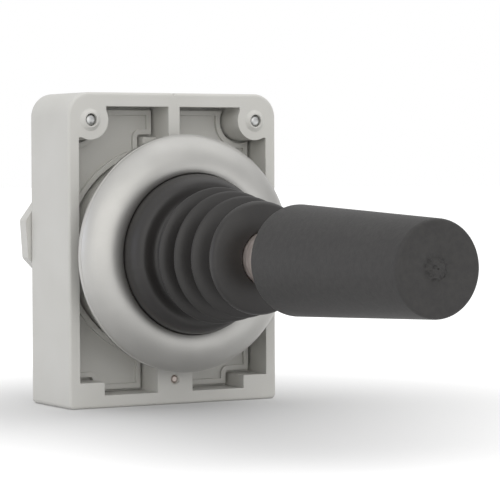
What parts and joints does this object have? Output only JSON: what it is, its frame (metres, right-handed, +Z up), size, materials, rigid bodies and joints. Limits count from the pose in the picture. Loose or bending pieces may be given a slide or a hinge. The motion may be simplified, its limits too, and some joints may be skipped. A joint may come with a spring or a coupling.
{
  "type": "joystick",
  "caption": "Panel-mounted four-way joystick with a tapered grip, bellows boot, metal bezel and a rear fixing adapter.",
  "frame": {"origin": "on the joystick's axis, in the plane where the panel's front lies against the gasket", "axes": "+Z up, +Y through the panel to the rear, the grip points to -Y, +X to the right seen from the front"},
  "size_m": [0.0307, 0.0751, 0.0396],
  "materials": {
    "grey_plastic": "light grey moulded plastic, fine satin texture",
    "black_plastic": "black moulded plastic",
    "grip_plastic": "dark grey moulded plastic, satin",
    "satin_metal": "turned metal ring, satin blasted",
    "boot_rubber": "black moulded rubber",
    "gasket_rubber": "flat black rubber",
    "bright_steel": "ground steel",
    "spring_steel": "drawn spring wire",
    "zinc_steel": "zinc plated steel",
    "brass": "turned brass",
    "natural_plastic": "natural white acetal"
  },
  "bodies": {
    "head": {"head_body": "black_plastic", "bezel_ring": "satin_metal", "panel_gasket": "gasket_rubber", "gate_plate": "black_plastic", "plunger_guide": "black_plastic", "boot": "boot_rubber", "pivot_pins": "bright_steel", "centering_spring": "spring_steel", "adapter_frame": "grey_plastic", "clamp_screws": "zinc_steel", "screw_bushes": "brass", "locating_pin": "bright_steel", "plunger_spring_right": "spring_steel", "plunger_spring_up": "spring_steel", "plunger_spring_left": "spring_steel", "plunger_spring_down": "spring_steel"},
    "gimbal": {"gimbal_ring": "bright_steel", "cross_pins": "bright_steel"},
    "lever": {"lever_shaft": "bright_steel", "lever_hub": "natural_plastic", "actuating_disc": "natural_plastic", "disc_clip": "spring_steel", "grip": "grip_plastic", "grip_insert": "brass"},
    "lock": {"lock_ring": "grey_plastic"},
    "plunger_right": {"plunger_right": "natural_plastic"},
    "plunger_up": {"plunger_up": "natural_plastic"},
    "plunger_left": {"plunger_left": "natural_plastic"},
    "plunger_down": {"plunger_down": "natural_plastic"}
  },
  "joints": [
    {"name": "tilt_up_down", "type": "hinge", "parent": "head", "child": "gimbal", "pos_m": [0, 0.004, 0], "axis": [1, 0, 0], "range_deg": [-15, 15], "stiffness_Nm_per_rad": 0.6, "deforming": ["boot", "centering_spring", "plunger_spring_up", "plunger_spring_down"]},
    {"name": "tilt_left_right", "type": "hinge", "parent": "gimbal", "child": "lever", "pos_m": [0, 0.004, 0], "axis": [0, 0, 1], "range_deg": [-15, 15], "stiffness_Nm_per_rad": 0.6, "deforming": ["boot", "centering_spring", "plunger_spring_right", "plunger_spring_left"]},
    {"name": "lock_turn", "type": "hinge", "parent": "head", "child": "lock", "pos_m": [0, 0.012, 0], "axis": [0, 1, 0], "range_deg": [0, 40]},
    {"name": "plunger_right_push", "type": "slide", "parent": "head", "child": "plunger_right", "axis": [0, 1, 0], "range_m": [-0.0016, 0.0016]},
    {"name": "plunger_left_push", "type": "slide", "parent": "head", "child": "plunger_left", "axis": [0, 1, 0], "range_m": [-0.0016, 0.0016]},
    {"name": "plunger_down_push", "type": "slide", "parent": "head", "child": "plunger_down", "axis": [0, 1, 0], "range_m": [-0.0016, 0.0016]},
    {"name": "plunger_up_push", "type": "slide", "parent": "head", "child": "plunger_up", "axis": [0, 1, 0], "range_m": [-0.0016, 0.0016]}
  ],
  "couplings": [
    {"joint": "plunger_right_push", "follows": "tilt_left_right", "m_per_rad": 0.006},
    {"joint": "plunger_left_push", "follows": "tilt_left_right", "m_per_rad": -0.006},
    {"joint": "plunger_down_push", "follows": "tilt_up_down", "m_per_rad": 0.006},
    {"joint": "plunger_up_push", "follows": "tilt_up_down", "m_per_rad": -0.006}
  ]
}
